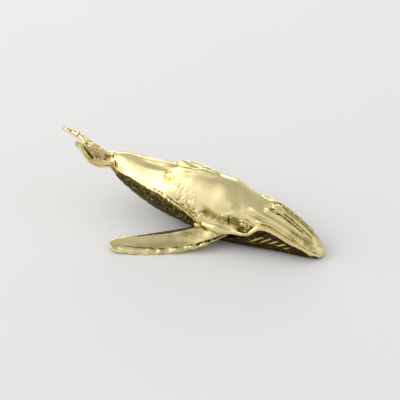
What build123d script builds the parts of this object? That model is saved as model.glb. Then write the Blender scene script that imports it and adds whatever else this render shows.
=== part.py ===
from build123d import *
import math
import os

# Humpback whale figurine in brass, resting on its throat and two flippers.
# Millimetres. The head points along +X, the right side is -Y and the surface it rests on is z = 0.
# While it is drawn the snout is at x = 0. At the end the whole is moved to the middle of its own box.

# Body
body_length = 57.0
body_width = 14.2
back_height = 15.0
tail_joint_share = 0.94

# Body stations from the snout to the end of the tail stock.
# Along the length, then back, belly and side line as shares of the back height,
# then half width, then how full the back, the sides and the belly are, then the crease of the side line.
body_shares = [
    (0.00, 0.130, 0.040, 0.085, 0.12, 0.60, 0.60, 0.60, 0.00),
    (0.03, 0.250, 0.015, 0.130, 0.33, 0.60, 0.58, 0.65, 0.00),
    (0.07, 0.380, 0.000, 0.190, 0.46, 0.58, 0.55, 0.70, 0.00),
    (0.14, 0.550, 0.000, 0.280, 0.58, 0.56, 0.52, 0.75, 0.00),
    (0.21, 0.670, 0.000, 0.340, 0.68, 0.54, 0.50, 0.78, 0.00),
    (0.28, 0.722, 0.000, 0.380, 0.77, 0.52, 0.50, 0.78, 0.00),
    (0.36, 0.838, 0.000, 0.410, 0.87, 0.50, 0.48, 0.75, 0.02),
    (0.44, 0.930, 0.000, 0.440, 0.96, 0.48, 0.46, 0.68, 0.04),
    (0.53, 0.990, 0.010, 0.470, 1.00, 0.46, 0.44, 0.60, 0.07),
    (0.61, 0.995, 0.035, 0.540, 1.00, 0.38, 0.42, 0.55, 0.10),
    (0.70, 0.935, 0.090, 0.610, 0.92, 0.32, 0.42, 0.50, 0.12),
    (0.79, 0.910, 0.190, 0.680, 0.76, 0.32, 0.42, 0.48, 0.12),
    (0.88, 0.918, 0.365, 0.730, 0.56, 0.34, 0.44, 0.46, 0.10),
    (0.95, 0.885, 0.540, 0.745, 0.38, 0.36, 0.48, 0.46, 0.06),
    (1.00, 0.870, 0.620, 0.760, 0.28, 0.40, 0.50, 0.48, 0.04),
]

# Mouth and throat
mouth_gap = 0.15
lip_bulge = 0.35
pouch_bulge = 0.9
pleat_count = 16
pleat_depth = 0.55
# The seam between head and throat, from the chin back over the corner of the mouth to the belly.
# Along the body length, then height as a share of the back height.
mouth_shares = [
    (0.000, 0.075),
    (0.033, 0.140),
    (0.080, 0.235),
    (0.140, 0.357),
    (0.185, 0.445),
    (0.225, 0.480),
    (0.262, 0.430),
    (0.300, 0.300),
    (0.360, 0.215),
    (0.460, 0.150),
    (0.560, 0.060),
]
throat_end_share = 0.62
throat_spare_share = 0.10
chin_share = 0.01
lip_steps = 3
# Along the body length, then how much of the pouch's bulge the throat has, how full its underside is
# and where its pleats begin below the side line.
throat_shares = [
    (0.00, 0.00, 0.60, 0.18),
    (0.07, 0.00, 0.72, 0.18),
    (0.14, 0.05, 0.80, 0.18),
    (0.21, 0.25, 0.88, 0.20),
    (0.28, 0.60, 0.94, 0.24),
    (0.36, 0.95, 0.96, 0.30),
    (0.44, 1.00, 0.94, 0.38),
    (0.53, 0.60, 0.84, 0.48),
    (0.61, 0.20, 0.70, 0.56),
    (0.72, 0.00, 0.55, 0.60),
]

# Flippers, each a blade with knobs on its leading edge
flipper_length = 23.8
flipper_width = 7.6
flipper_thickness = 1.7
flipper_sweep = 35.0
flipper_tilt = 26.0
flipper_tip_tilt = 9.0
shoulder_setback = 25.0
shoulder_offset = 5.5
shoulder_height = 4.6
flipper_drop = 3.7
# Along the blade, then leading and trailing edge as shares of its width, then thickness and drop.
flipper_shares = [
    (-0.14, 0.46, 0.08, 1.05, -0.10),
    (0.00, 0.50, 0.12, 1.15, 0.00),
    (0.13, 0.53, 0.18, 1.15, 0.34),
    (0.26, 0.54, 0.25, 1.05, 0.60),
    (0.40, 0.50, 0.29, 1.00, 0.79),
    (0.54, 0.46, 0.30, 0.94, 0.90),
    (0.68, 0.41, 0.31, 0.88, 0.96),
    (0.80, 0.35, 0.32, 0.80, 0.97),
    (0.90, 0.27, 0.30, 0.70, 0.96),
    (1.00, 0.13, 0.20, 0.58, 0.94),
]
# The blade is drawn through this many even steps, wider than its outline by the trim.
blade_steps = 10
blade_fullness_shares = (0.62, 0.50, 0.62)
blade_trim = 0.35
# The knobs of the leading edge, from shoulder to tip, and their heights.
first_knob_share = 0.22
last_knob_share = 0.90
knob_height = 0.42
knob_height_shares = [0.70, 1.00, 0.85, 1.00, 0.85, 0.90, 0.70]
# Places along the blade that its trailing edge goes through, from tip to root.
trailing_edge_shares = [0.92, 0.78, 0.60, 0.42, 0.24, 0.08, -0.20]
flipper_peg_radius = 0.7
flipper_peg_length = 6.0

# Tail flukes
fluke_span = 15.8
fluke_length = 9.5
fluke_thickness = 1.3
fluke_turn = 35.0
fluke_rise = 27.0
fluke_roll = -4.0
fluke_height = 12.0
fluke_curl = 3.3
right_droop = -2.6
right_lift = 3.3
left_droop = 0.4
left_lift = -4.2
# From the middle to a tip: out along half the span, then leading and trailing edge, then thickness.
fluke_root_share = (0.00, -0.16, 0.49, 1.90)
right_fluke_shares = [
    (0.34, -0.20, 0.60, 1.20),
    (0.74, 0.22, 0.83, 0.95),
    (0.88, 0.48, 0.92, 0.75),
    (0.96, 0.76, 0.98, 0.55),
    (1.00, 0.95, 1.01, 0.35),
]
left_fluke_shares = [
    (0.34, -0.04, 0.60, 1.25),
    (0.74, 0.25, 0.83, 1.00),
    (0.88, 0.46, 0.92, 0.80),
    (0.96, 0.72, 0.97, 0.60),
    (1.00, 0.93, 1.00, 0.40),
]
notch_width = 0.9
notch_depth = 1.1
tail_peg_radius = 1.2
tail_peg_length = 3.0

# Dorsal fin, set in a slot in the back
fin_length = 6.4
fin_width = 2.2
fin_height = 1.0
fin_root = 1.0
fin_setback = 34.2
# Height above the skin, then length, width and backward shift, from root to tip.
fin_shares = [
    (-1.00, 0.80, 0.60, 0.00),
    (0.00, 1.00, 1.00, 0.00),
    (0.45, 0.66, 0.66, 0.10),
    (0.80, 0.40, 0.46, 0.20),
    (1.00, 0.20, 0.26, 0.28),
]

# Eyes, each a bead on a pin
eye_radius = 0.55
eye_setback = 17.0
eye_height = 7.3
eye_sink_share = 0.33
eye_pin_radius = 0.3
eye_pin_length = 1.6

# Joints
braze_gap = 0.08
braze_bead = 0.3
tail_braze_bead = 0.22
tail_braze_width = 0.6
overrun = 4.0

# How full a plain round section is, and how many steps a place on the skin is looked for in.
round_shares = (0.55, 0.55, 0.55)
skin_steps = 40


def cubic(points, t):
    """The point at t on a cubic curve with these four control points."""
    s = 1 - t
    weights = (s * s * s, 3 * s * s * t, 3 * s * t * t, t * t * t)
    return sum((p * w for p, w in zip(points, weights)), Vector(0, 0, 0))


def quarters(middle, across, upward, sizes, fullness, crease_share):
    """Control points of the four curves round an oval, starting at its top and going left."""
    left, right, top, bottom = sizes
    back_full, side_full, belly_full = fullness
    corner = 1 - crease_share

    def at(a, u):
        return middle + across * a + upward * u

    def quarter(side, rise, full):
        return [
            at(0, rise),
            at(side * full, rise),
            at(side * corner, rise * side_full),
            at(side, 0),
        ]

    top_left = quarter(left, top, back_full)
    low_left = quarter(left, -bottom, belly_full)
    low_right = quarter(-right, -bottom, belly_full)
    top_right = quarter(-right, top, back_full)
    return [top_left, low_left[::-1], low_right, top_right[::-1]]


def oval(middle, across, upward, sizes, fullness=round_shares, crease_share=0.0):
    """A closed section made of four smooth quarters."""
    curves = quarters(middle, across, upward, sizes, fullness, crease_share)
    return Face(Wire([Bezier(*points) for points in curves]))


def between(rows, share):
    """The row of a table at any place along it."""
    for near, far in zip(rows, rows[1:]):
        if share <= far[0]:
            t = (share - near[0]) / (far[0] - near[0])
            return [a + (b - a) * t for a, b in zip(near, far)]
    return list(rows[-1])


def along(share):
    """How far back from the snout a share of the body's length is."""
    return -body_length * share


def body_curves(row, grow=0.0, bulge=0.0):
    """Control points of the body's section at a station, larger all round by grow."""
    station, back, belly, side, width = row[:5]
    fullness, crease = row[5:8], row[8]
    half = body_width / 2 * width + grow + bulge
    top = back_height * (back - side) + grow
    bottom = back_height * (side - belly) + grow
    middle = Vector(along(station), 0, back_height * side)
    return quarters(middle, Vector(0, 1, 0), Vector(0, 0, 1), (half, half, top, bottom), fullness, crease)


def whale_form(grow=0.0):
    """The body from snout to the end of the tail stock, larger all round by grow."""
    faces = []
    for row in body_shares:
        faces.append(Face(Wire([Bezier(*points) for points in body_curves(row, grow)])))
    return loft(faces)


def above_ground(shape):
    """The shape with everything below the resting surface filed away."""
    reach = 2 * (body_length + fluke_length + flipper_length)
    ground = Location((0, 0, -reach / 2)) * Box(reach, reach, reach)
    return shape - ground


def mouth_space(raise_by):
    """Everything under the mouth seam, seen from the side and carried through the whole width."""
    seam = [(along(a), back_height * h + raise_by) for a, h in mouth_shares]
    front_x, front_z = seam[0]
    back_x, back_z = seam[-1]
    line = Spline(*[Vector(x, 0, z) for x, z in seam])
    end_x = along(throat_end_share) - raise_by
    corners = [
        Vector(back_x, 0, back_z),
        Vector(end_x, 0, -overrun),
        Vector(overrun, 0, -overrun),
        Vector(overrun, 0, front_z),
        Vector(front_x, 0, front_z),
    ]
    face = Face(Wire([line, *Polyline(*corners).edges()]))
    return extrude(face, amount=body_width, dir=(0, 1, 0), both=True)


def pleated_section(row):
    """The throat's section: plain above, a smooth lip at each side and pleats between them below."""
    pouch, underside, start = between(throat_shares, row[0])[1:]
    bulge = lip_bulge * row[4] + pouch_bulge * pouch
    fuller = [*row[:7], underside, row[8]]
    top_left, low_left, low_right, top_right = body_curves(fuller, bulge=bulge)
    depth = pleat_depth * row[4]
    middle = (low_left[0] + low_right[3]) / 2

    def on_curve(t):
        return cubic(low_left, t) if t <= 1 else cubic(low_right, t - 1)

    step = 2 * (1 - start) / pleat_count
    lip = [start * i / lip_steps for i in range(lip_steps + 1)]
    edges = [Bezier(*top_left)]
    edges.append(Spline(*[on_curve(t) for t in lip]))
    for i in range(pleat_count):
        here = on_curve(start + step * i)
        there = on_curve(start + step * (i + 1))
        crest = on_curve(start + step * (i + 0.5))
        outward = (crest - middle).normalized()
        edges.append(Bezier(here, crest + outward * depth, there))
    edges.append(Spline(*[on_curve(2 - t) for t in reversed(lip)]))
    edges.append(Bezier(*top_right))
    return Face(Wire(edges))


def throat_form():
    """The lower jaw and throat before they are cut from the head along the mouth seam."""
    rows = [row for row in body_shares if 0 < row[0] < throat_end_share + throat_spare_share]
    chin = between(body_shares, chin_share)
    return loft([pleated_section(row) for row in [chin, *rows]])


def flipper_axes(along_share):
    """The right blade's own directions: along it, to its leading edge, and up. It untwists to the tip."""
    turn = math.radians(flipper_sweep)
    tilt = math.radians(flipper_tilt + (flipper_tip_tilt - flipper_tilt) * max(0.0, along_share))
    outward = Vector(-math.cos(turn), -math.sin(turn), 0)
    level = Vector(math.sin(turn), -math.cos(turn), 0)
    forward = level * math.cos(tilt) - Vector(0, 0, math.sin(tilt))
    upward = level * math.sin(tilt) + Vector(0, 0, math.cos(tilt))
    return outward, forward, upward


def blade_point(along_share, out_share):
    """A point on the right blade's middle surface."""
    outward, forward, upward = flipper_axes(along_share)
    shoulder = Vector(-shoulder_setback, -shoulder_offset, shoulder_height)
    drop = Vector(0, 0, flipper_drop * between(flipper_shares, along_share)[4])
    middle = shoulder + outward * (flipper_length * along_share) - drop
    return middle + forward * (flipper_width * out_share)


def knob_rows():
    """Places along the leading edge from the first knob to the last, each with its height there."""
    steps = 2 * (len(knob_height_shares) - 1)
    rows = []
    for step in range(steps + 1):
        share = first_knob_share + (last_knob_share - first_knob_share) * step / steps
        rows.append((share, 0.0 if step % 2 else knob_height * knob_height_shares[step // 2]))
    return rows


def blade_outline(grow):
    """The right blade's edge seen from above, larger all round by grow, as an upright prism."""

    def edge_point(share, out_share):
        point = blade_point(share, out_share)
        return Vector(point.X, point.Y, 0)

    spread = grow / flipper_width
    root = trailing_edge_shares[-1]
    leading = []
    for share, knob in [(root, 0.0), (0.0, 0.0), *knob_rows()]:
        lead = between(flipper_shares, share)[1]
        leading.append(edge_point(share, lead + knob / flipper_width + spread))
    trailing = []
    for share in trailing_edge_shares:
        trail = between(flipper_shares, share)[2]
        trailing.append(edge_point(share, -trail - spread))
    tip = edge_point(1 + grow / flipper_length, 0)
    edges = [
        Spline(*leading),
        ThreePointArc(leading[-1], tip, trailing[0]),
        Spline(*trailing),
        Line(trailing[-1], leading[0]),
    ]
    return extrude(Face(Wire(edges)), amount=back_height, dir=(0, 0, 1), both=True)


def right_blade(grow=0.0):
    """The right flipper's blade, larger all round by grow: a long twisted form trimmed to its outline."""
    root = flipper_shares[0][0]
    faces = []
    for step in range(blade_steps + 1):
        share = root + (1 + blade_trim / flipper_length - root) * step / blade_steps
        lead, trail, thick = between(flipper_shares, share)[1:4]
        outward, forward, upward = flipper_axes(share)
        middle = blade_point(share, (lead - trail) / 2)
        half = flipper_width * (lead + trail) / 2 + blade_trim + grow
        rise = flipper_thickness * thick / 2 + grow
        faces.append(oval(middle, forward, upward, (half, half, rise, rise), blade_fullness_shares))
    return loft(faces) & blade_outline(grow)


def right_peg(grow=0.0):
    """The round peg that carries the right flipper, from inside its root to inside the body."""
    inner = blade_point(flipper_shares[0][0], 0)
    outer = blade_point(-flipper_shares[0][0], 0)
    line = Plane(origin=(inner + outer) / 2, z_dir=outer - inner)
    return line * Cylinder(flipper_peg_radius + grow, flipper_peg_length + 2 * grow)


def right_flipper_solid(body_room):
    """The right flipper: its blade, shaped to the body's skin at the root, and its peg."""
    return above_ground(right_blade() - body_room) + right_peg()


def cup(u, v):
    """How far the fluke's surface stands off flat at u back and v left."""
    back = u / fluke_length
    out = abs(v) / (fluke_span / 2)
    droop, lift = (right_droop, right_lift) if v < 0 else (left_droop, left_lift)
    return fluke_curl * back * back + droop * out * out + lift * out * back


def fluke_lobes():
    """Both lobes of the tail in their own frame: x forward, y left, z up."""
    right_rows = [(-out, lead, trail, thick) for out, lead, trail, thick in right_fluke_shares]
    faces = []
    for out, lead, trail, thick in [*right_rows[::-1], fluke_root_share, *left_fluke_shares]:
        v = fluke_span / 2 * out
        front = Vector(-fluke_length * lead, v, cup(fluke_length * lead, v))
        back = Vector(-fluke_length * trail, v, cup(fluke_length * trail, v))
        across = (front - back).normalized()
        upward = across.cross(Vector(0, 1, 0))
        half = (front - back).length / 2
        rise = fluke_thickness * thick / 2
        faces.append(oval((front + back) / 2, across, upward, (half, half, rise, rise)))
    return loft(faces)


def tail_peg(grow=0.0):
    """The round peg that carries the tail flukes in the end of the tail stock."""
    row = between(body_shares, tail_joint_share)
    middle = Vector(seam_x, 0, back_height * (row[1] + row[2]) / 2)
    length = 2 * (tail_peg_length + grow)
    return Plane(origin=middle, z_dir=Vector(1, 0, 0)) * Cylinder(tail_peg_radius + grow, length)


def tail_solid(form):
    """The end of the tail stock with the flukes grown out of it."""
    joint = seam_x - braze_gap
    size = body_length
    rear = Location((joint - size / 2, 0, size / 2)) * Box(size, size, size)
    place = Location((-body_length, 0, fluke_height))
    turned = place * Rot(0, 0, fluke_turn) * Rot(0, fluke_rise, 0) * Rot(fluke_roll, 0, 0)
    notch_middle = -fluke_length * fluke_root_share[2]
    wedge = Polygon(
        (notch_middle - notch_depth, -notch_width),
        (notch_middle - notch_depth, notch_width),
        (notch_middle + notch_depth, 0),
        align=None,
    )
    notch = extrude(wedge, amount=fluke_length, both=True)
    lobes = turned * (fluke_lobes() - notch)
    return (form & rear) + lobes + tail_peg()


def fin_solid(grow=0.0):
    """The dorsal fin and the tongue under it, longer and wider all round by grow."""
    row = between(body_shares, fin_setback / body_length)
    skin = back_height * row[1]
    faces = []
    for rise, length, width, shift in fin_shares:
        height = (fin_height if rise > 0 else fin_root) * rise
        middle = Vector(-fin_setback - fin_length * shift, 0, skin + height)
        half_length = fin_length * length / 2 + grow
        half_width = fin_width * width / 2 + grow
        sizes = (half_length, half_length, half_width, half_width)
        faces.append(oval(middle, Vector(1, 0, 0), Vector(0, 1, 0), sizes))
    return loft(faces)


def right_eye_solid(grow=0.0):
    """The right eye's bead and the pin that it is set on."""
    row = between(body_shares, eye_setback / body_length)
    top_right = body_curves(row)[3]
    places = [cubic(top_right, step / skin_steps) for step in range(skin_steps + 1)]
    skin = min(places, key=lambda place: abs(place.Z - eye_height))
    middle = Vector(-eye_setback, skin.Y + eye_radius * eye_sink_share, eye_height)
    bead = Plane(origin=middle, z_dir=Vector(0, 1, 0)) * Sphere(eye_radius + grow)
    length = eye_pin_length + grow
    pin_line = Plane(origin=middle + Vector(0, length / 2, 0), z_dir=Vector(0, 1, 0))
    return bead + pin_line * Cylinder(eye_pin_radius + grow, length)


def mirrored(shape):
    """The same piece for the left side."""
    return mirror(shape, about=Plane.XZ)


seam_x = along(tail_joint_share)
form = whale_form()
form_room = whale_form(braze_gap)

right_flipper = right_flipper_solid(form_room)
left_flipper = mirrored(right_flipper)
tail_flukes = tail_solid(form)
dorsal_fin = fin_solid()
right_eye = right_eye_solid()
left_eye = mirrored(right_eye)

blades_room = right_blade(braze_gap)
blades_room = blades_room + mirrored(blades_room)
throat = above_ground((throat_form() & mouth_space(0.0)) - blades_room)

body = above_ground(form - mouth_space(mouth_gap))
front_size = 2 * body_length
front = Location((seam_x + front_size / 2, 0, 0)) * Box(front_size, front_size, front_size)
body = body & front
body = body - tail_peg(braze_gap)
fin_room = fin_solid(braze_gap)
body = body - fin_room - Location((0, 0, -braze_gap)) * fin_room
right_sockets = right_peg(braze_gap) + right_eye_solid(braze_gap)
body = body - right_sockets - mirrored(right_sockets)

root_shell = whale_form(braze_bead) - form_room
root_ring = (root_shell & right_blade(braze_bead)) - blades_room
right_braze = above_ground(root_ring - mouth_space(mouth_gap))
left_braze = mirrored(right_braze)
slab = Location((seam_x, 0, body_length / 2)) * Box(tail_braze_width, body_length, body_length)
tail_braze = (whale_form(tail_braze_bead) - form_room) & slab

nodes = {
    "body": body,
    "throat": throat,
    "right_flipper": right_flipper,
    "left_flipper": left_flipper,
    "tail_flukes": tail_flukes,
    "dorsal_fin": dorsal_fin,
    "right_eye": right_eye,
    "left_eye": left_eye,
    "right_flipper_braze": right_braze,
    "left_flipper_braze": left_braze,
    "tail_braze": tail_braze,
}

whole = Compound(children=[Compound(shape.solids()) for shape in nodes.values()]).bounding_box()
centre = whole.center()
to_origin = Location((-centre.X, -centre.Y, -whole.min.Z))

os.makedirs("parts", exist_ok=True)
for name, shape in nodes.items():
    solids = (to_origin * shape).solids()
    piece = solids[0] if len(solids) == 1 else Compound(solids)
    export_step(piece, f"parts/{name}.step")
    print(name, len(solids), round(shape.volume, 2))
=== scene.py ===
import math

import bpy
import numpy as np
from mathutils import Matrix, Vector, noise


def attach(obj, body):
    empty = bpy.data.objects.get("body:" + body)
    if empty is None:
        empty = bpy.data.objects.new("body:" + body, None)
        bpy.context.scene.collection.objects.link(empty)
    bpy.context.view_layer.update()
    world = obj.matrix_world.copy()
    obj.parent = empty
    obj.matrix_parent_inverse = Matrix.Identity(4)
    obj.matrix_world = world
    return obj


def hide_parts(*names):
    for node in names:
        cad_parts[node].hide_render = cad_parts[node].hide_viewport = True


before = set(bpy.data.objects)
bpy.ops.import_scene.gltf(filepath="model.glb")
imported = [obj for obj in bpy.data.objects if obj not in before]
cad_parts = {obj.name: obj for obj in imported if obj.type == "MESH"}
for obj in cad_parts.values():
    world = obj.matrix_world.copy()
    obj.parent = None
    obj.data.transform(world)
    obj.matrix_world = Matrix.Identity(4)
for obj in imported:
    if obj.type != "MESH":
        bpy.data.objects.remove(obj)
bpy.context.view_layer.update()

# Points of the whale are in millimetres, with the snout towards +X and the right side towards -Y.
MM = 0.001

SAME_PLACE = 1e-6  # points nearer than this, in metres, are one point
WEAR_LEVELS = 10  # steps between worn and not worn
ROLL_ROUNDNESS = 4
ROLL_STEPS = 6
COARSE_BREAK, FINE_BREAK, BREAK_GAIN = 0.7, 0.3, 1.6  # sizes and strength of what breaks up a rough touch
FAR = 1e9  # further than any point of the whale
TINY = 1e-9  # keeps a division by a path's length safe


# The skin of each piece

def only(piece):
    """Makes this the one selected and active object."""
    bpy.ops.object.select_all(action="DESELECT")
    piece.select_set(True)
    bpy.context.view_layer.objects.active = piece


def finish_with(piece, kind, **settings):
    """Adds a modifier with these settings and applies it."""
    only(piece)
    modifier = piece.modifiers.new(kind.title(), kind)
    for key, value in settings.items():
        setattr(modifier, key, value)
    bpy.ops.object.modifier_apply(modifier=modifier.name)


def even_out(piece, weights, rounds):
    """Wears the skin down to a smooth form where the weights say so."""
    group = piece.vertex_groups.new(name="worn")
    levels = np.round(np.clip(weights, 0.0, 1.0) * WEAR_LEVELS).astype(int)
    for level in range(1, WEAR_LEVELS + 1):
        members = np.nonzero(levels == level)[0].tolist()
        if members:
            group.add(members, level / WEAR_LEVELS, "REPLACE")
    finish_with(piece, "SMOOTH", factor=1.0, iterations=rounds, vertex_group="worn")
    piece.vertex_groups.clear()


def wax_roll(path, radii):
    """A roll of wax along a path, with its own thickness at each point."""
    curve = bpy.data.curves.new("wax_roll", "CURVE")
    curve.dimensions = "3D"
    curve.bevel_depth = MM
    curve.bevel_resolution = ROLL_ROUNDNESS
    curve.resolution_u = ROLL_STEPS
    curve.use_fill_caps = True
    spline = curve.splines.new("NURBS")
    spline.points.add(len(path) - 1)
    for point, place, radius in zip(spline.points, path, radii):
        point.co = (*(Vector(place) * MM), 1.0)
        point.radius = radius
    spline.order_u = 3
    spline.use_endpoint_u = True
    roll = bpy.data.objects.new("wax_roll", curve)
    bpy.context.scene.collection.objects.link(roll)
    only(roll)
    bpy.ops.object.convert(target="MESH")
    return bpy.context.view_layer.objects.active


def wax_copy(node, name, grain, rounds, rolls=()):
    """A copy of a node's shape, with rolls pressed on, in one closed skin that is fine enough to carve."""
    only(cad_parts[node])
    bpy.ops.object.duplicate()
    piece = bpy.context.view_layer.objects.active
    piece.name = name
    piece.data.name = name
    for key in [key for key in piece.keys() if key.startswith("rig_")]:
        del piece[key]
    piece.parent = None
    piece.data.materials.clear()
    bpy.ops.object.mode_set(mode="EDIT")
    bpy.ops.mesh.select_all(action="SELECT")
    bpy.ops.mesh.remove_doubles(threshold=SAME_PLACE)
    bpy.ops.mesh.normals_make_consistent(inside=False)
    bpy.ops.object.mode_set(mode="OBJECT")
    for path, radii in rolls:
        roll = wax_roll(path, radii)
        only(piece)
        roll.select_set(True)
        bpy.ops.object.join()
    finish_with(piece, "REMESH", mode="VOXEL", voxel_size=grain * MM, adaptivity=0.0)
    finish_with(piece, "SMOOTH", factor=0.5, iterations=rounds)
    return piece


def points_of(piece):
    """Places and outward directions of all points of the skin, in millimetres."""
    mesh = piece.data
    count = len(mesh.vertices)
    places = np.empty(count * 3, np.float32)
    normals = np.empty(count * 3, np.float32)
    mesh.vertices.foreach_get("co", places)
    mesh.vertices.foreach_get("normal", normals)
    return places.reshape(-1, 3).astype(float) / MM, normals.reshape(-1, 3).astype(float)


def put_points(piece, places):
    """Moves the points of the skin to these places, in millimetres."""
    piece.data.vertices.foreach_set("co", (places * MM).astype(np.float32).ravel())
    piece.data.update()


def eased(value):
    """A soft step from 0 to 1."""
    value = np.clip(value, 0.0, 1.0)
    return value * value * (3 - 2 * value)


def on_side(path, sign):
    """The same points on the right side, with a sign of 1, or mirrored to the left, with -1."""
    return [(x, y * sign, z) for x, y, z in path]


def both_sides(path, radii):
    """The same roll on both sides of the whale."""
    return [(on_side(path, sign), radii) for sign in (1, -1)]


def shifted(path, dx, dy, dz):
    """A path beside another one."""
    return [(x + dx, y + dy, z + dz) for x, y, z in path]


def halfway(start, end):
    """The point in the middle between two."""
    return [(a + b) / 2 for a, b in zip(start, end)]


def distance_along(places, path):
    """How far each point is from a path, and how far along the path its nearest place is, from 0 to 1."""
    path = np.array(path, float)
    runs = np.linalg.norm(np.diff(path, axis=0), axis=1)
    starts = np.concatenate([[0.0], np.cumsum(runs)])
    best = np.full(len(places), FAR)
    share = np.zeros(len(places))
    for start, end, run, before in zip(path, path[1:], runs, starts):
        way = end - start
        t = np.clip((places - start) @ way / max(run * run, TINY), 0.0, 1.0)
        gap = np.linalg.norm(places - start - t[:, None] * way, axis=1)
        nearer = gap < best
        best[nearer] = gap[nearer]
        share[nearer] = ((before + t * run) / starts[-1])[nearer]
    return best, share


class Carving:
    """A piece while it is carved: its points, their directions and what is painted on them."""

    def __init__(self, piece):
        self.piece = piece
        self.read()
        self.toned = np.zeros(len(self.places))
        self.cast = np.zeros(len(self.places))
        self.warm = np.zeros(len(self.places))

    def read(self):
        """Takes the places and directions of the piece's points."""
        self.places, self.normals = points_of(self.piece)

    def settle(self):
        """Puts the moved points back on the piece and reads its new directions."""
        put_points(self.piece, self.places)
        self.read()

    def wear(self, weights, rounds):
        """Evens out the skin of the settled piece."""
        even_out(self.piece, weights, rounds)
        self.read()

    def lift(self, height):
        """Moves each point outwards by its height."""
        self.places += self.normals * np.asarray(height)[..., None]

    def on_skin(self, point):
        """The place on the settled skin that is nearest to a point."""
        found, place, _, _ = self.piece.closest_point_on_mesh(Vector(point) * MM)
        return np.array(place) / MM if found else np.array(point, float)

    def stroke(self, path, width, height=0.0, toned=0.0, warm=0.0, sharp=2.0, ends=0.15, rough=0.0,
               mirror=True):
        """One pass of the tool along a path: up by height, or down where it is negative."""
        for sign in (1, -1) if mirror else (1,):
            line = [self.on_skin(point) for point in on_side(path, sign)]
            gap, share = distance_along(self.places, line)
            near = np.clip(1 - (gap / width) ** 2, 0.0, 1.0) ** sharp
            taper = eased(np.minimum(share, 1 - share) / ends) if ends else 1.0
            self.mark(near * taper, height, toned, warm, rough)

    def dab(self, point, width, height=0.0, toned=0.0, warm=0.0, sharp=2.0, mirror=True):
        """One round touch of the tool."""
        for sign in (1, -1) if mirror else (1,):
            gap = np.linalg.norm(self.places - self.on_skin(on_side([point], sign)[0]), axis=1)
            self.mark(np.clip(1 - (gap / width) ** 2, 0.0, 1.0) ** sharp, height, toned, warm)

    def pull(self, point, width, move, mirror=True):
        """Drags the skin near a point by a distance, like soft wax."""
        for sign in (1, -1) if mirror else (1,):
            centre = np.array(point) * (1, sign, 1)
            gap = np.linalg.norm(self.places - centre, axis=1)
            weight = np.clip(1 - (gap / width) ** 2, 0.0, 1.0) ** 2
            self.places += weight[:, None] * (np.array(move) * (1, sign, 1))

    def mark(self, weight, height, toned, warm, rough=0.0):
        """Moves and paints the skin by a weight, which a rough touch breaks up."""
        if rough:
            near = np.nonzero(weight)[0]
            spots = [Vector(self.places[i]) for i in near]
            broken = [noise.noise(spot / COARSE_BREAK) + noise.noise(spot / FINE_BREAK) for spot in spots]
            weight[near] *= np.clip(1 + rough * BREAK_GAIN * np.array(broken), 0.0, 2.0)
        self.lift(weight * height)
        self.toned = np.clip(self.toned + weight * toned, 0.0, 1.0)
        self.warm = np.clip(self.warm + weight * warm, 0.0, 1.0)

    def ripple(self, size, height, where=1.0, seed=0.0):
        """Soft unevenness of the hand-worked skin."""
        shift = Vector((seed, seed * 0.7, -seed))
        values = np.array([noise.noise(Vector(place) / size + shift) for place in self.places])
        self.lift(values * height * where)

    def done(self, material, node):
        """Writes the skin and its painted attributes, and hands the piece over."""
        put_points(self.piece, self.places)
        for name, values in (("toned", self.toned), ("cast", self.cast), ("warm", self.warm)):
            attribute = self.piece.data.attributes.new(name, "FLOAT", "POINT")
            attribute.data.foreach_set("value", values.astype(np.float32))
        self.piece.data.materials.append(material)
        only(self.piece)
        bpy.ops.object.shade_smooth()
        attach(self.piece, "root")
        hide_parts(node)


# Finishes

def new_group(name, inputs, outputs):
    """An empty shader node group with these inputs and outputs."""
    group = bpy.data.node_groups.new(name, "ShaderNodeTree")
    for label, kind, value in inputs:
        socket = group.interface.new_socket(label, in_out="INPUT", socket_type=kind)
        socket.default_value = value
    for label, kind in outputs:
        group.interface.new_socket(label, in_out="OUTPUT", socket_type=kind)
    return group


def add(tree, kind, **settings):
    """A new node with these settings."""
    node = tree.nodes.new(kind)
    for key, value in settings.items():
        setattr(node, key, value)
    return node


def feed(tree, socket, value):
    """Links a socket to another one, or sets its value."""
    if isinstance(value, (int, float, tuple)):
        socket.default_value = value
    else:
        tree.links.new(value, socket)


def math_node(tree, operation, a, b=0.0, c=0.0, clamp=False):
    node = add(tree, "ShaderNodeMath", operation=operation, use_clamp=clamp)
    for socket, value in zip(node.inputs, (a, b, c)):
        feed(tree, socket, value)
    return node.outputs[0]


def mix_colour(tree, share, first, second):
    node = add(tree, "ShaderNodeMix", data_type="RGBA")
    for index, value in ((0, share), (6, first), (7, second)):
        feed(tree, node.inputs[index], value)
    return node.outputs[2]


def noise_node(tree, where, scale, detail=3.0, roughness=0.55):
    node = add(tree, "ShaderNodeTexNoise")
    feed(tree, node.inputs["Vector"], where)
    feed(tree, node.inputs["Scale"], scale)
    feed(tree, node.inputs["Detail"], detail)
    feed(tree, node.inputs["Roughness"], roughness)
    return node.outputs["Fac"]


def soft_range(tree, value, low, high):
    """0 below the low value, 1 above the high one, with a soft step between them."""
    node = add(tree, "ShaderNodeMapRange", interpolation_type="SMOOTHSTEP")
    for index, number in enumerate((value, low, high)):
        feed(tree, node.inputs[index], number)
    return node.outputs[0]


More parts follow.
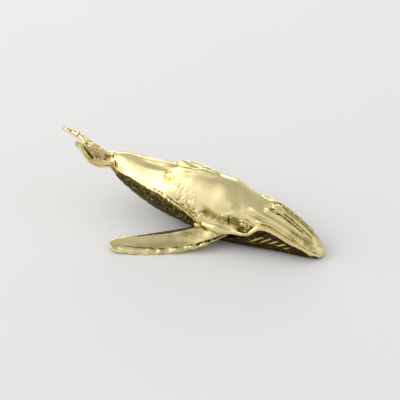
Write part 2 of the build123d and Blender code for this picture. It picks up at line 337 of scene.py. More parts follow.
def make_brass_skin():
    """Colour, roughness and height of worked brass: bright where it is polished, dark where residue stays and
    where the toned attribute paints shade and dark reflections, orange where the warm attribute paints warm
    reflections.
    """
    group = new_group(
        "Brass skin",
        [
            ("Bright", "NodeSocketColor", (0.8, 0.7, 0.4, 1.0)),
            ("Olive", "NodeSocketColor", (0.3, 0.25, 0.08, 1.0)),
            ("Deep", "NodeSocketColor", (0.05, 0.04, 0.015, 1.0)),
            ("Orange", "NodeSocketColor", (0.5, 0.25, 0.08, 1.0)),
            ("Clouding", "NodeSocketFloat", 0.2),
            ("Polished Roughness", "NodeSocketFloat", 0.2),
            ("Cast Roughness", "NodeSocketFloat", 0.45),
        ],
        [("Color", "NodeSocketColor"), ("Roughness", "NodeSocketFloat"), ("Height", "NodeSocketFloat")],
    )
    entry = add(group, "NodeGroupInput")
    exit_ = add(group, "NodeGroupOutput")
    bright, olive_tone, deep_tone, orange_tone, clouding, smooth, as_cast = entry.outputs[:7]
    in_mm = add(group, "ShaderNodeVectorMath", operation="SCALE")
    feed(group, in_mm.inputs[0], add(group, "ShaderNodeTexCoord").outputs["Object"])
    feed(group, in_mm.inputs["Scale"], 1 / MM)
    here = in_mm.outputs[0]
    toned, cast, warm = [
        add(group, "ShaderNodeAttribute", attribute_name=name).outputs["Fac"]
        for name in ("toned", "cast", "warm")
    ]

    # Patterns
    clouds = noise_node(group, here, scale=0.22)
    patches = noise_node(group, here, scale=0.9, detail=4.0, roughness=0.6)
    grain = noise_node(group, here, scale=3.2, detail=4.0, roughness=0.7)
    pimples = noise_node(group, here, scale=1.9, detail=1.0, roughness=0.5)
    stretched = add(group, "ShaderNodeMapping")
    feed(group, stretched.inputs["Vector"], here)
    feed(group, stretched.inputs["Rotation"], (0.0, 0.3, 0.15))
    feed(group, stretched.inputs["Scale"], (0.35, 5.0, 5.0))
    hairlines = noise_node(group, stretched.outputs[0], scale=1.6, roughness=0.6)

    # Colour, from the polished metal down to the residue and the painted shade
    cloudy = math_node(group, "MULTIPLY", soft_range(group, clouds, 0.42, 0.66), clouding)
    colour = mix_colour(group, cloudy, bright, olive_tone)
    # Orange where the warm attribute says: painted warm reflection of nearby brass
    glow = math_node(group, "MULTIPLY", warm, soft_range(group, patches, 0.25, 0.6))
    colour = mix_colour(group, glow, colour, orange_tone)
    rubbed = math_node(group, "MULTIPLY", soft_range(group, grain, 0.52, 0.70), 0.55)
    held = math_node(group, "MULTIPLY", cast, math_node(group, "SUBTRACT", 1.0, rubbed))
    colour = mix_colour(group, math_node(group, "MULTIPLY", held, 0.86), colour, olive_tone)
    # Olive, then deep brown, where the toned attribute says: painted shade and dark reflection, and residue
    uneven = math_node(group, "MULTIPLY_ADD", patches, 0.7, -0.35)
    shade_and_stain = math_node(group, "ADD", toned, math_node(group, "MULTIPLY", uneven, toned))
    colour = mix_colour(group, soft_range(group, shade_and_stain, 0.04, 0.50), colour, olive_tone)
    deep_shade_and_residue = soft_range(group, shade_and_stain, 0.42, 0.90)
    colour = mix_colour(group, deep_shade_and_residue, colour, deep_tone)
    specks = math_node(group, "MULTIPLY", cast, soft_range(group, pimples, 0.60, 0.70))
    colour = mix_colour(group, math_node(group, "MULTIPLY", specks, 0.6), colour, bright)
    feed(group, exit_.inputs["Color"], colour)

    # Roughness, with faint polishing lines
    rough = add(group, "ShaderNodeMix", data_type="FLOAT")
    for index, value in ((0, math_node(group, "MAXIMUM", held, deep_shade_and_residue)), (2, smooth), (3, as_cast)):
        feed(group, rough.inputs[index], value)
    rubbing = math_node(group, "MULTIPLY_ADD", hairlines, 0.16, -0.08)
    feed(group, exit_.inputs["Roughness"], math_node(group, "ADD", rough.outputs[0], rubbing, clamp=True))

    # Pits of the casting and the same lines, as height
    pits = math_node(group, "MULTIPLY", grain, math_node(group, "MULTIPLY_ADD", cast, 0.9, 0.06))
    lines = math_node(group, "MULTIPLY", hairlines, 0.10)
    feed(group, exit_.inputs["Height"], math_node(group, "ADD", pits, lines))
    return group


OLIVE = (0.26, 0.20, 0.045)
DEEP = (0.040, 0.029, 0.009)
ORANGE = (0.62, 0.33, 0.10)
GLANCING_TINT = (0.96, 0.88, 0.66, 1.0)
RELIEF_DEPTH = 0.12 * MM
brass_skin = make_brass_skin()


def brass(name, bright, clouding, polished, as_cast, relief):
    """A brass with its own bright colour, clouding, roughness where polished or as cast, and relief."""
    material = bpy.data.materials.new(name)
    material.use_nodes = True
    tree = material.node_tree
    shader = tree.nodes["Principled BSDF"]
    shader.inputs["Metallic"].default_value = 1.0
    shader.inputs["Specular Tint"].default_value = GLANCING_TINT
    skin = add(tree, "ShaderNodeGroup", node_tree=brass_skin)
    for label, value in (("Bright", bright), ("Olive", OLIVE), ("Deep", DEEP), ("Orange", ORANGE)):
        skin.inputs[label].default_value = (*value, 1.0)
    skin.inputs["Clouding"].default_value = clouding
    skin.inputs["Polished Roughness"].default_value = polished
    skin.inputs["Cast Roughness"].default_value = as_cast
    tree.links.new(skin.outputs["Color"], shader.inputs["Base Color"])
    tree.links.new(skin.outputs["Roughness"], shader.inputs["Roughness"])
    bump = add(tree, "ShaderNodeBump")
    bump.inputs["Strength"].default_value = relief
    bump.inputs["Distance"].default_value = RELIEF_DEPTH
    tree.links.new(skin.outputs["Height"], bump.inputs["Height"])
    tree.links.new(bump.outputs["Normal"], shader.inputs["Normal"])
    return material


polished_brass = brass(
    "polished_brass", (0.93, 0.81, 0.43), clouding=0.18, polished=0.25, as_cast=0.50, relief=0.30,
)
cast_brass = brass(
    "cast_brass", (0.90, 0.76, 0.38), clouding=0.25, polished=0.26, as_cast=0.50, relief=0.40,
)
flipper_brass = brass(
    "flipper_brass", (0.88, 0.77, 0.40), clouding=0.40, polished=0.26, as_cast=0.50, relief=0.30,
)
tail_brass = brass(
    "tail_brass", (0.92, 0.79, 0.43), clouding=0.28, polished=0.24, as_cast=0.45, relief=0.40,
)

# Body, with wax rolled on for the folds, the fin's skirt, the snout's knob and the core of the tail

cheek_fold = both_sides(
    [(12.4, -6.5, 4.6), (14.2, -6.0, 4.5), (16.2, -5.8, 4.5), (17.8, -5.9, 4.8), (19.2, -5.8, 5.6)],
    (0.5, 0.7, 0.85, 0.75, 0.4),
)
root_fold = both_sides(
    [(7.6, -7.1, 5.0), (9.6, -7.3, 4.7), (11.4, -7.0, 4.6), (13.2, -6.4, 4.5), (14.8, -6.0, 4.4)],
    (0.5, 0.8, 0.9, 0.8, 0.5),
)
fin_skirt = both_sides(
    [(-2.8, -1.1, 13.9), (-1.6, -1.3, 14.2), (0.5, -1.35, 14.4), (2.5, -1.2, 14.5), (4.6, -0.8, 14.4),
     (7.4, -0.4, 13.9)],
    (0.5, 0.85, 0.95, 0.85, 0.85, 0.7),
)
snout_knob = (
    [(33.1, -1.3, 1.5), (33.45, -0.5, 1.5), (33.45, 0.5, 1.5), (33.1, 1.3, 1.5)],
    (0.75, 0.95, 0.95, 0.75),
)
tail_core = (
    [(-16.0, 0.0, 10.1), (-17.5, 0.0, 10.3), (-19.0, 0.0, 10.56), (-20.3, -0.1, 10.7), (-21.4, -0.3, 10.9)],
    (2.4, 2.7, 2.80, 2.35, 1.8),
)


def lift_stock(carving):
    """Slims the underside of the tail stock, the same way on every piece that meets there."""
    carving.pull((-20.2, -1.6, 8.2), width=3.4, move=(0.3, 0.2, 1.25), mirror=False)
    carving.settle()


body_rolls = cheek_fold + root_fold + fin_skirt + [snout_knob, tail_core]
body_copy = wax_copy("body", "whale_body", grain=0.168, rounds=10, rolls=body_rolls)
start_places, _ = points_of(body_copy)
beside_fin = eased((3.6 - np.abs(start_places[:, 0] - 1.5)) / 1.5) * eased((start_places[:, 2] - 12.6) / 1.0)
even_out(body_copy, beside_fin, rounds=24)
even_out(body_copy, eased((-17.0 - start_places[:, 0]) / 1.2), rounds=48)
body = Carving(body_copy)
lift_stock(body)

# Splash guard, blowholes and the long ridges of the upper jaw, with painted shade in the grooves between them
body.pull((19.6, 0.0, 11.6), width=3.4, move=(-0.1, 0.0, -0.75), mirror=False)
body.settle()
body.stroke(
    [(21.6, 0.1, 10.6), (22.4, 0.1, 10.3), (23.4, 0.1, 9.9), (24.6, 0.0, 9.3)],
    width=1.3, height=0.40, mirror=False,
)
body.stroke(
    [(24.0, 0.0, 9.5), (27.0, 0.0, 8.0), (29.7, 0.0, 6.3), (32.4, 0.0, 3.9)],
    width=0.7, height=0.26, mirror=False,
)
body.stroke(
    [(23.6, -0.6, 9.6), (26.0, -0.6, 8.4), (28.3, -0.7, 7.1), (30.8, -0.7, 5.4), (32.0, -0.6, 4.5)],
    width=0.4, height=-0.28, toned=0.8, rough=0.4,
)
body.stroke(
    [(24.2, -1.0, 9.2), (27.2, -1.0, 7.7), (30.0, -1.0, 5.9), (31.9, -0.8, 4.4)],
    width=0.45, height=0.20,
)
body.stroke(
    [(22.8, -1.3, 9.8), (25.4, -1.4, 8.6), (27.9, -1.5, 7.3), (30.1, -1.4, 5.7)],
    width=0.4, height=-0.24, toned=0.7, rough=0.5,
)
body.stroke(
    [(21.0, -1.5, 10.1), (21.8, -1.1, 10.1), (22.8, -0.8, 9.9)],
    width=0.38, height=-0.22, toned=0.75, ends=0.3, rough=0.5,
)
body.stroke(
    [(21.6, -1.7, 9.9), (22.9, -1.8, 9.5), (24.0, -1.6, 9.2)],
    width=0.35, height=-0.16, toned=0.6, rough=0.8,
)

# Soft bands along the side of the head, down to the lip, with painted shade in the hollows between them
body.stroke(
    [(19.7, -2.1, 10.2), (21.8, -2.1, 9.7), (23.7, -1.9, 9.2), (25.8, -1.9, 8.1), (28.5, -1.9, 6.6),
     (30.8, -1.8, 5.0)],
    width=0.8, height=0.34, warm=0.12,
)
body.stroke(
    [(20.3, -2.8, 9.7), (23.0, -2.7, 8.9), (25.8, -2.6, 7.7), (28.5, -2.5, 6.2), (30.5, -2.3, 4.8)],
    width=0.7, height=-0.22, toned=0.16,
)
body.stroke(
    [(16.5, -3.4, 10.0), (18.5, -3.2, 9.9), (21.2, -3.4, 9.0), (23.8, -3.3, 8.1), (26.2, -3.2, 7.0),
     (28.3, -3.1, 5.6), (30.9, -2.8, 3.9)],
    width=0.9, height=0.30,
)
body.stroke(
    [(17.6, -4.2, 9.2), (19.6, -4.1, 8.9), (22.0, -3.9, 8.2), (25.0, -3.7, 7.1), (28.0, -3.5, 5.2),
     (30.4, -3.2, 3.9)],
    width=0.7, height=-0.26, toned=0.20,
)
body.stroke(
    [(19.0, -5.0, 7.6), (20.2, -4.7, 8.0), (21.6, -4.3, 8.1), (23.1, -4.0, 7.7), (25.1, -3.9, 6.8),
     (27.1, -3.7, 5.8), (29.5, -3.4, 4.6), (31.3, -3.0, 3.5)],
    width=0.7, height=0.34,
)
body.stroke(
    [(31.8, -2.6, 3.3), (32.4, -2.2, 2.9), (32.8, -1.4, 3.0)],
    width=0.7, height=-0.10, toned=0.22, ends=0.3, rough=0.5,
)
body.dab((29.3, -1.1, 6.3), width=0.3, height=-0.1, toned=0.5)
body.dab((30.1, -1.2, 5.7), width=0.3, height=-0.1, toned=0.5)
body.dab((32.2, -1.4, 3.8), width=1.5, height=-0.14, toned=0.10)
body.stroke(
    [(11.2, -2.2, 13.0), (13.4, -3.0, 11.7), (14.8, -4.2, 9.9), (15.4, -4.9, 8.7)],
    width=1.9, height=-0.10, toned=0.12, sharp=1.0, ends=0.4,
)
body.stroke([(17.0, -2.8, 10.6), (18.4, -3.1, 10.0), (19.8, -3.2, 9.5)], width=0.6, height=0.14, ends=0.4)

# Hollow behind the eye and the band that leads to it, painted dark as shade with a few raised spots left
# clear; the fold under the cheek, painted orange as a warm reflection; and a painted shadow line along the
# foot of the cheek
body.stroke(
    [(12.9, -6.2, 7.3), (14.2, -5.9, 7.3), (15.4, -5.7, 7.0), (16.2, -5.7, 6.5)],
    width=1.55, height=-0.20, toned=0.50, sharp=0.8, ends=0.15, rough=0.12,
)
body.stroke(
    [(15.2, -5.9, 6.0), (16.4, -5.8, 5.8), (17.6, -5.6, 5.6), (18.7, -5.4, 5.9), (19.6, -5.2, 6.7)],
    width=1.1, height=-0.22, toned=0.62, sharp=1.2, ends=0.2, rough=0.25,
)
body.dab((12.2, -6.4, 6.7), width=0.6, height=0.30, toned=-0.5)
body.dab((12.5, -6.3, 6.2), width=0.4, height=0.20, toned=-0.5)
body.dab((12.1, -6.1, 8.1), width=0.45, height=0.26, toned=-0.5)
body.dab((13.8, -5.8, 8.0), width=0.4, height=0.22, toned=-0.6)
body.dab((14.3, -6.1, 6.0), width=0.35, height=0.16, toned=-0.4)
body.stroke(
    [(6.4, -6.5, 9.0), (7.8, -6.5, 8.4), (9.2, -6.6, 7.8), (10.7, -6.5, 7.4), (12.6, -6.3, 7.2),
     (14.4, -6.0, 7.1)],
    width=1.35, height=-0.16, toned=0.38, warm=0.25, sharp=1.2, ends=0.15, rough=0.25,
)
body.stroke(
    [(12.2, -6.2, 8.5), (13.8, -5.9, 8.8), (15.4, -5.5, 8.6), (16.4, -5.2, 8.5)],
    width=0.7, height=0.16, ends=0.3,
)
body.stroke(
    [(14.8, -6.3, 4.6), (16.2, -6.2, 4.5), (17.6, -6.3, 4.7), (19.0, -6.1, 5.4)],
    width=1.0, toned=0.10, warm=1.0, ends=0.2, rough=0.3,
)
body.stroke(
    [(14.4, -6.2, 5.5), (16.0, -5.9, 5.4), (17.2, -5.8, 5.3)],
    width=0.5, toned=0.30, warm=0.9, ends=0.3, rough=0.5,
)
body.stroke(
    [(10.4, -7.7, 3.9), (12.4, -7.0, 3.8), (14.4, -6.3, 3.7), (16.4, -6.1, 3.7), (18.2, -6.2, 4.1)],
    width=0.7, height=-0.14, toned=0.95, ends=0.1, rough=0.7,
)

# Ridge along the flank, with the as-cast belly under it, which is also painted dark as shade and dark
# reflection
chine = [
    (-17.5, -3.4, 11.3), (-16.3, -3.8, 11.0), (-13.3, -4.4, 11.1), (-9.7, -5.3, 10.6), (-6.7, -5.9, 10.1),
    (-3.9, -6.3, 9.8), (-1.0, -6.8, 9.0), (1.6, -7.0, 8.0), (3.7, -7.1, 7.0), (6.5, -7.0, 5.4),
]
body.stroke(chine, width=0.7, height=0.10, rough=0.4)
body.stroke(shifted(chine[4:], 0.0, 0.1, 0.30), width=0.24, height=-0.12, toned=0.85, rough=1.1)
body.stroke(shifted(chine[6:], 0.0, 0.4, 1.0), width=0.22, height=-0.08, toned=0.35, rough=1.6)
# Patches on the flank, beside the fin and along the side of the snout, darkened and warmed: painted
# reflections, and painted shade where the flank would catch too much light
mottled = [(0.0, -5.0, 11.9), (2.4, -5.9, 10.6), (4.8, -6.5, 9.3), (7.6, -6.8, 7.9), (10.0, -6.8, 6.8)]
body.stroke(mottled, width=2.2, height=-0.04, toned=0.07, sharp=1.0, ends=0.3, rough=1.6)
body.dab((2.2, -3.4, 13.6), width=3.4, toned=0.14, sharp=1.0)
body.dab((0.5, -2.2, 14.4), width=2.2, height=-0.04, toned=0.20, sharp=1.0)
body.stroke(
    [(14.2, -3.2, 11.2), (14.5, -4.1, 10.3), (14.6, -4.9, 9.3), (14.4, -5.5, 8.3)],
    width=1.7, height=-0.04, toned=0.14, sharp=1.0, ends=0.4, rough=0.3,
)
body.dab((7.0, -2.4, 13.4), width=2.6, toned=0.05, warm=0.25, sharp=1.0)
body.stroke(
    [(9.6, -5.7, 9.9), (12.0, -5.5, 9.6), (14.4, -5.3, 9.0)],
    width=2.0, height=-0.10, toned=0.10, sharp=1.0, ends=0.3,
)
body.dab((19.8, -4.6, 8.4), width=2.0, toned=0.09, sharp=1.0)
body.stroke(
    [(26.0, -3.1, 6.9), (28.6, -2.7, 5.7), (30.6, -2.2, 4.7), (31.8, -1.6, 4.1)],
    width=1.3, height=-0.06, toned=0.22, sharp=1.0, ends=0.3, rough=0.3,
)
body.dab((31.4, -1.9, 4.3), width=1.7, height=-0.10, toned=0.30, sharp=1.0)
body.dab((33.7, -0.9, 2.2), width=1.4, height=0.16, toned=-0.6, sharp=1.0)
body.dab((30.0, -3.0, 4.4), width=0.6, height=0.16, toned=-0.5)
body.stroke(
    shifted(mottled, -0.8, -0.2, -1.2),
    width=1.4, height=-0.04, toned=0.10, warm=0.2, sharp=1.0, ends=0.3, rough=1.8,
)

# Back: a rim along the top of the tail stock with a hollow beside it, painted darker as shade, the swelling
# that carries the fin, a painted shadow line under the step at the back of the fin, and a streak of painted
# reflection down the side
body.stroke(
    [(-17.0, 0.0, 13.6), (-13.0, 0.0, 13.9), (-9.0, 0.0, 14.2), (-5.0, 0.0, 14.6), (-2.5, 0.0, 15.0)],
    width=0.8, height=0.12, mirror=False,
)
body.stroke(
    [(-13.5, -1.0, 13.4), (-9.0, -1.3, 13.6), (-6.0, -1.6, 14.0), (-3.5, -1.8, 14.4)],
    width=1.3, height=-0.22, toned=0.12, ends=0.4,
)
body.stroke(
    [(2.6, 0.0, 15.3), (4.4, 0.0, 15.2), (8.5, 0.0, 14.8)],
    width=2.0, height=0.40, ends=0.35, mirror=False,
)
body.stroke(
    [(-3.4, -1.0, 15.0), (-2.6, -1.3, 15.0), (-1.8, -1.4, 15.1)],
    width=0.35, height=-0.18, toned=0.8, ends=0.3,
)
reflection_streak = [
    (-6.0, -0.8, 13.9), (-4.5, -2.1, 13.5), (-2.8, -3.4, 13.0), (-0.8, -4.3, 12.5), (0.9, -5.1, 11.8),
    (2.4, -5.8, 10.9),
]
body.stroke(reflection_streak, width=1.6, height=-0.05, toned=0.13, warm=0.40, sharp=1.0, ends=0.3, rough=0.8)
body.dab((-4.4, -2.2, 13.4), width=0.9, height=-0.05, toned=0.12, warm=0.4, sharp=1.0)
body.dab((-3.0, -4.4, 12.3), width=1.7, height=-0.05, toned=0.10, warm=0.4, sharp=1.0)

# Shoulder, where the flipper grows out of the body
body.stroke(
    [(3.5, -6.9, 5.6), (7.0, -7.0, 5.6), (10.5, -6.9, 5.5), (13.5, -6.3, 5.2)],
    width=1.8, height=0.60, ends=0.3,
)

# Rough seam at the tail stock
seam_line = [
    (-19.5, -0.6, 13.2), (-18.7, -1.7, 12.9), (-18.0, -2.4, 12.4), (-17.4, -3.0, 11.9), (-17.1, -3.3, 11.0),
]


def mark_seam(carving):
    """The dark broken line of the seam and the specks beside it, and a dark warm patch of painted reflection
    on top of the stock, on every piece that meets there.
    """
    carving.stroke(seam_line, width=0.26, height=-0.06, toned=0.60, ends=0.1, rough=1.0)
    carving.stroke(shifted(seam_line, 0.7, 0.0, 0.0), width=0.8, height=0.04, toned=0.14, ends=0.1, rough=2.0)
    # Painted reflection: a dark warm patch on top of the stock
    carving.stroke(
        [(-20.6, -0.9, 13.0), (-19.7, -1.6, 12.8), (-18.9, -2.1, 12.5)],
        width=1.1, height=-0.05, toned=0.30, warm=0.3, rough=0.4, mirror=False,
    )


mark_seam(body)
body.settle()

under = np.interp(body.places[:, 0], [x for x, _, _ in chine], [z for _, _, z in chine]) - body.places[:, 2]
belly = eased(under / 0.35) * eased((body.places[:, 0] + 19.5) / 0.6) * eased((10.0 - body.places[:, 0]) / 2.5)
lower_flank = eased(1 - np.abs(body.places[:, 0] - 3.5) / 5.0) * eased((under + 2.6) / 2.0) * (1 - belly)
body.cast = np.clip(belly + 0.28 * lower_flank, 0, 1)
# Painted shade and dark reflection: the underside below the ridge, darker the further under, and faintly the
# lower flank; the as-cast texture there is real.
belly_painted_shade = belly * (0.70 + 0.2 * eased((under - 0.5) / 2.0))
body.toned = np.clip(body.toned + belly_painted_shade + 0.10 * lower_flank, 0, 1)
# A thin line along the ridge is left bright through that painted shade, as a painted highlight.
body.stroke(shifted(chine[3:], 0.0, 0.0, -0.15), width=0.30, height=0.08, toned=-0.9, rough=0.9)
body.ripple(size=5.0, height=0.16, where=1 - belly)
body.ripple(size=1.1, height=0.16, where=belly, seed=5.0)
body.ripple(size=0.5, height=0.10, where=np.clip(belly + 0.4 * lower_flank, 0, 1), seed=9.0)
body.done(polished_brass, "body")

# Throat: a thick bright lip over pleats that rise towards the lip as they run forward; the pleats are painted
# dark as shade, with painted highlights on their crests

RECESS = 0.40  # how far the pleats lie behind the lip
PLEAT_STEP = 1.25  # from one crest to the next
PLEAT_HEIGHT = 0.42
PLEAT_LEAN = 5.0  # how much a pleat at the side counts as higher than one in the middle

lip_roll = both_sides(
    [(18.4, -6.1, 5.1), (19.2, -5.6, 6.1), (20.4, -5.1, 7.0), (22.0, -4.7, 7.0), (23.4, -4.6, 6.55),
     (25.4, -4.4, 5.75), (27.0, -4.2, 4.85), (29.1, -3.7, 3.75), (30.8, -3.1, 2.85), (32.6, -2.2, 1.8)],
    (0.40, 0.55, 0.60, 0.60, 0.58, 0.56, 0.54, 0.50, 0.46, 0.42),
)
chin_roll = (
    [(33.2, -1.5, 0.75), (33.7, -0.5, 0.75), (33.75, 0.5, 0.75), (33.3, 1.5, 0.75)],
    (0.5, 0.62, 0.62, 0.5),
)
throat_copy = wax_copy("throat", "throat_pouch", grain=0.15, rounds=5, rolls=lip_roll + [chin_roll])
lip_edge = [
    (2.0, 3.0), (12.0, 4.0), (16.6, 4.2), (18.0, 4.6), (19.0, 5.3), (19.8, 6.0), (20.8, 6.65), (22.2, 6.7),
    (23.5, 6.4), (25.3, 5.65), (27.0, 4.7), (28.1, 4.1), (29.2, 3.7), (30.8, 2.8), (32.0, 1.8), (34.0, 0.6),
]


def below_lip(places):
    """How far each point lies under the lower edge of the lip."""
    return np.interp(places[:, 0], *zip(*lip_edge)) - places[:, 2]


start_places, start_normals = points_of(throat_copy)
outside = eased((np.abs(start_places[:, 1]) - 1.0) / 2.0) * eased(-start_normals[:, 2] * 3 + 2.0)
even_out(throat_copy, eased((below_lip(start_places) + 0.2) / 0.5) * outside, rounds=120)
throat = Carving(throat_copy)
lip_ridge = [
    (18.6, -6.3, 4.9), (19.4, -6.0, 5.6), (20.5, -5.6, 6.5), (21.7, -5.2, 6.7), (23.2, -4.8, 6.4),
    (25.1, -4.5, 5.6), (26.7, -4.3, 4.7), (28.6, -3.9, 3.6), (31.1, -3.1, 2.2), (33.2, -1.8, 1.1),
]
throat.stroke(lip_ridge, width=1.0, height=0.30, ends=0.1)
throat.settle()
depth = below_lip(throat.places)
raised = throat.places[:, 2]
side = eased(np.abs(throat.places[:, 1]) / 1.2)
pleated = eased((depth + 0.05) / 0.3) * side * eased((throat.places[:, 0] - 1.5) / 3.0)
recess = pleated * eased((raised - 0.4) / 1.6) * eased((34.0 - throat.places[:, 0]) / 4.0)
throat.lift(-RECESS * recess)

# Each pleat has its own number all along, so the pleats climb towards the lip on their way to the snout.
rise_x = [2.0, 10.0, 13.0, 16.0, 20.0, 24.0, 28.0, 32.0, 34.0]
rise_z = [0.0, 0.4, 1.1, 2.3, 4.5, 6.9, 8.7, 9.9, 10.3]
half_width_x = [2.0, 12.0, 18.0, 23.0, 28.0, 32.0, 34.0]
half_width = [6.9, 7.2, 6.2, 5.2, 4.1, 2.8, 1.2]
across = np.abs(throat.places[:, 1]) / np.interp(throat.places[:, 0], half_width_x, half_width)
climb = np.interp(throat.places[:, 0], rise_x, rise_z)
number = (raised + PLEAT_LEAN * np.minimum(across, 0.8) - climb) / PLEAT_STEP
crest = np.abs(np.sin(math.pi * number))
throat.lift((crest ** 1.3 - 0.7) * PLEAT_HEIGHT * pleated)
throat.places[:, 2] = np.maximum(throat.places[:, 2], 0.0)
# Painted highlight: the crests are left bright along a band at mid-height of the side, and faintly elsewhere;
# the rest of the pleats is painted dark as shade, and the crests are painted orange as a warm reflection.
lit_z = np.interp(throat.places[:, 0], [14.0, 20.0, 23.0, 25.5, 29.0], [2.0, 3.8, 3.9, 3.1, 2.0])
lit_length = eased((throat.places[:, 0] - 17.0) / 3.5) * eased((28.5 - throat.places[:, 0]) / 2.5)
lit = eased(1.3 - np.abs(raised - lit_z) / 0.9) * lit_length
painted_crest_highlight = (0.08 + 0.92 * lit) * eased((crest - 0.66) / 0.24)
throat.toned = np.clip(pleated * (1.0 - painted_crest_highlight), 0, 1)
throat.warm = pleated * crest ** 4 * eased((27.0 - throat.places[:, 0]) / 4.0)
throat.cast = 0.3 * pleated
throat.ripple(size=3.0, height=0.04, where=1 - pleated)
throat.done(cast_brass, "throat")

# Flippers: a rolled edge with knobs, kept clear of the blade's faint painted shade as a painted highlight,
# hollows between them, painted shade along the blade's hollow and the top of the root, and cast marks near the
# root

OWN_KNOBS = -1.5  # from this x on towards the root, each knob stands out by itself


def carve_flipper(side_name, sign):
    """The blade, from its knobbed front edge to the rough skin near the root."""
    flipper = Carving(wax_copy(side_name + "_flipper", side_name + "_flipper_blade", grain=0.13, rounds=8))
    knobs = on_side(
        [(-9.3, -18.7, 1.4), (-7.0, -18.9, 1.2), (-4.3, -17.7, 1.1), (-1.2, -16.4, 0.9), (1.2, -15.4, 0.8),
         (4.2, -14.0, 1.2), (7.2, -12.2, 1.8), (9.8, -10.1, 2.4), (11.6, -8.3, 3.2)],
        sign,
    )
    flipper.stroke(knobs, width=0.80, height=0.26, mirror=False)
    for knob, following in zip(knobs, knobs[1:]):
        apart = float(knob[0] > OWN_KNOBS)
        flipper.dab(knob, width=1.0, height=0.22 * apart, mirror=False)
        flipper.dab(halfway(knob, following), width=0.9, height=-0.29 * apart, toned=0.10, mirror=False)
    hollow = [(-7.5, -17.6, 2.0), (-3.0, -15.8, 2.0), (1.5, -13.4, 2.2), (6.0, -10.8, 2.8), (9.5, -8.6, 3.6)]
    flipper.stroke(on_side(hollow, sign), width=1.5, height=-0.22, toned=0.10, ends=0.3, mirror=False)
    trailing = on_side([(-10.0, -17.2, 1.8), (-4.5, -13.9, 2.4), (1.0, -10.5, 3.0), (6.3, -7.1, 4.2)], sign)
    flipper.stroke(trailing, width=0.55, height=0.16, mirror=False)
    near_root = eased((flipper.places[:, 0] - 8.0) / 5.0)
    flipper.cast = 0.45 * near_root
    root_top = on_side([(2.5, -9.6, 3.6), (5.0, -8.8, 4.0), (7.6, -8.2, 4.4), (10.0, -7.6, 4.5)], sign)
    flipper.stroke(root_top, width=2.2, height=-0.16, toned=0.24, sharp=1.0, ends=0.3, mirror=False)
    flipper.ripple(size=5.0, height=0.14, seed=3.0)
    flipper.ripple(size=0.9, height=0.12, where=near_root, seed=4.0)
    # A faint painted shade over the blade, from which the rims are cleared as a painted highlight
    flipper.toned = np.clip(flipper.toned + 0.07, 0, 1)
    for rim in (knobs, trailing):
        flipper.stroke(rim, width=0.6, toned=-0.3, mirror=False)
    root_edge = on_side(
        [(7.4, -11.4, 1.9), (9.4, -9.9, 2.5), (10.7, -9.0, 2.9), (12.1, -7.8, 3.2), (13.4, -6.8, 3.4)],
        sign,
    )
    flipper.stroke(root_edge, width=0.5, height=-0.14, toned=0.85, rough=0.9, mirror=False)
    below_edge = shifted(root_edge, 0.1, -0.5 * sign, -0.5)
    flipper.stroke(below_edge, width=0.4, height=0.12, toned=-0.6, rough=0.8, mirror=False)
    flipper.done(flipper_brass, side_name + "_flipper")


def carve_eye(side_name, sign):
    """The eye's bead, dark but for the three folds of its lids."""
    lids = [
        ([(15.8, -5.7, 7.6), (16.7, -5.5, 8.0), (17.7, -5.35, 7.85), (18.5, -5.35, 7.3), (19.5, -5.1, 7.0)],
         (0.1, 0.30, 0.34, 0.32, 0.12)),
        ([(16.4, -5.8, 7.1), (17.0, -5.8, 7.3), (17.5, -5.85, 6.9), (17.6, -5.85, 6.5)],
         (0.15, 0.27, 0.27, 0.15)),
        ([(18.0, -5.6, 7.1), (18.4, -5.5, 6.8), (18.2, -5.6, 6.3), (17.6, -5.8, 6.0)],
         (0.15, 0.24, 0.20, 0.10)),
    ]
    lids = [(on_side(path, sign), radii) for path, radii in lids]
    eye = Carving(wax_copy(side_name + "_eye", side_name + "_eye_and_lids", grain=0.07, rounds=2, rolls=lids))
    eye.toned[:] = 0.9
    for path, _ in lids:
        gap, _ = distance_along(eye.places, path)
        eye.toned *= eased((gap - 0.36) / 0.14)
    eye.ripple(size=0.5, height=0.12)
    eye.done(cast_brass, side_name + "_eye")


def carve_root_bead(side_name, sign):
    """The rough bead round the flipper's root, with a dark broken edge."""
    bead = Carving(wax_copy(side_name + "_flipper_braze", side_name + "_root_bead", grain=0.08, rounds=2))
    bead.lift(0.42)
    bead.settle()
    bead.wear(np.ones(len(bead.places)), rounds=12)
    dark_edge = on_side(
        [(10.5, -8.9, 3.1), (11.4, -8.1, 3.3), (12.4, -7.3, 3.5), (13.4, -6.6, 3.6), (15.0, -6.1, 3.6)],
        sign,
    )
    bead.stroke(dark_edge, width=0.8, height=-0.12, toned=0.9, rough=0.8, mirror=False)
    bead.ripple(size=0.9, height=0.20)
    bead.done(polished_brass, side_name + "_flipper_braze")


for side_name, side_sign in (("right", 1), ("left", -1)):
    carve_flipper(side_name, side_sign)
    carve_eye(side_name, side_sign)
    carve_root_bead(side_name, side_sign)

# Fin, sunk a little into the back ahead of its tip

FIN_SINK = 0.28
fin = Carving(wax_copy("dorsal_fin", "back_fin", grain=0.12, rounds=30))
fin.places[:, 2] -= FIN_SINK * eased((fin.places[:, 0] - 0.5) / 3.0)
fin.ripple(size=1.5, height=0.06)
fin.done(polished_brass, "dorsal_fin")

# Flukes: ridges and grooves that fan out from the tail stock, and beads along the far lobe; the grooves and
# the gaps between the beads are painted dark as shade, the ridges and the stock's underside painted warm as
# reflection

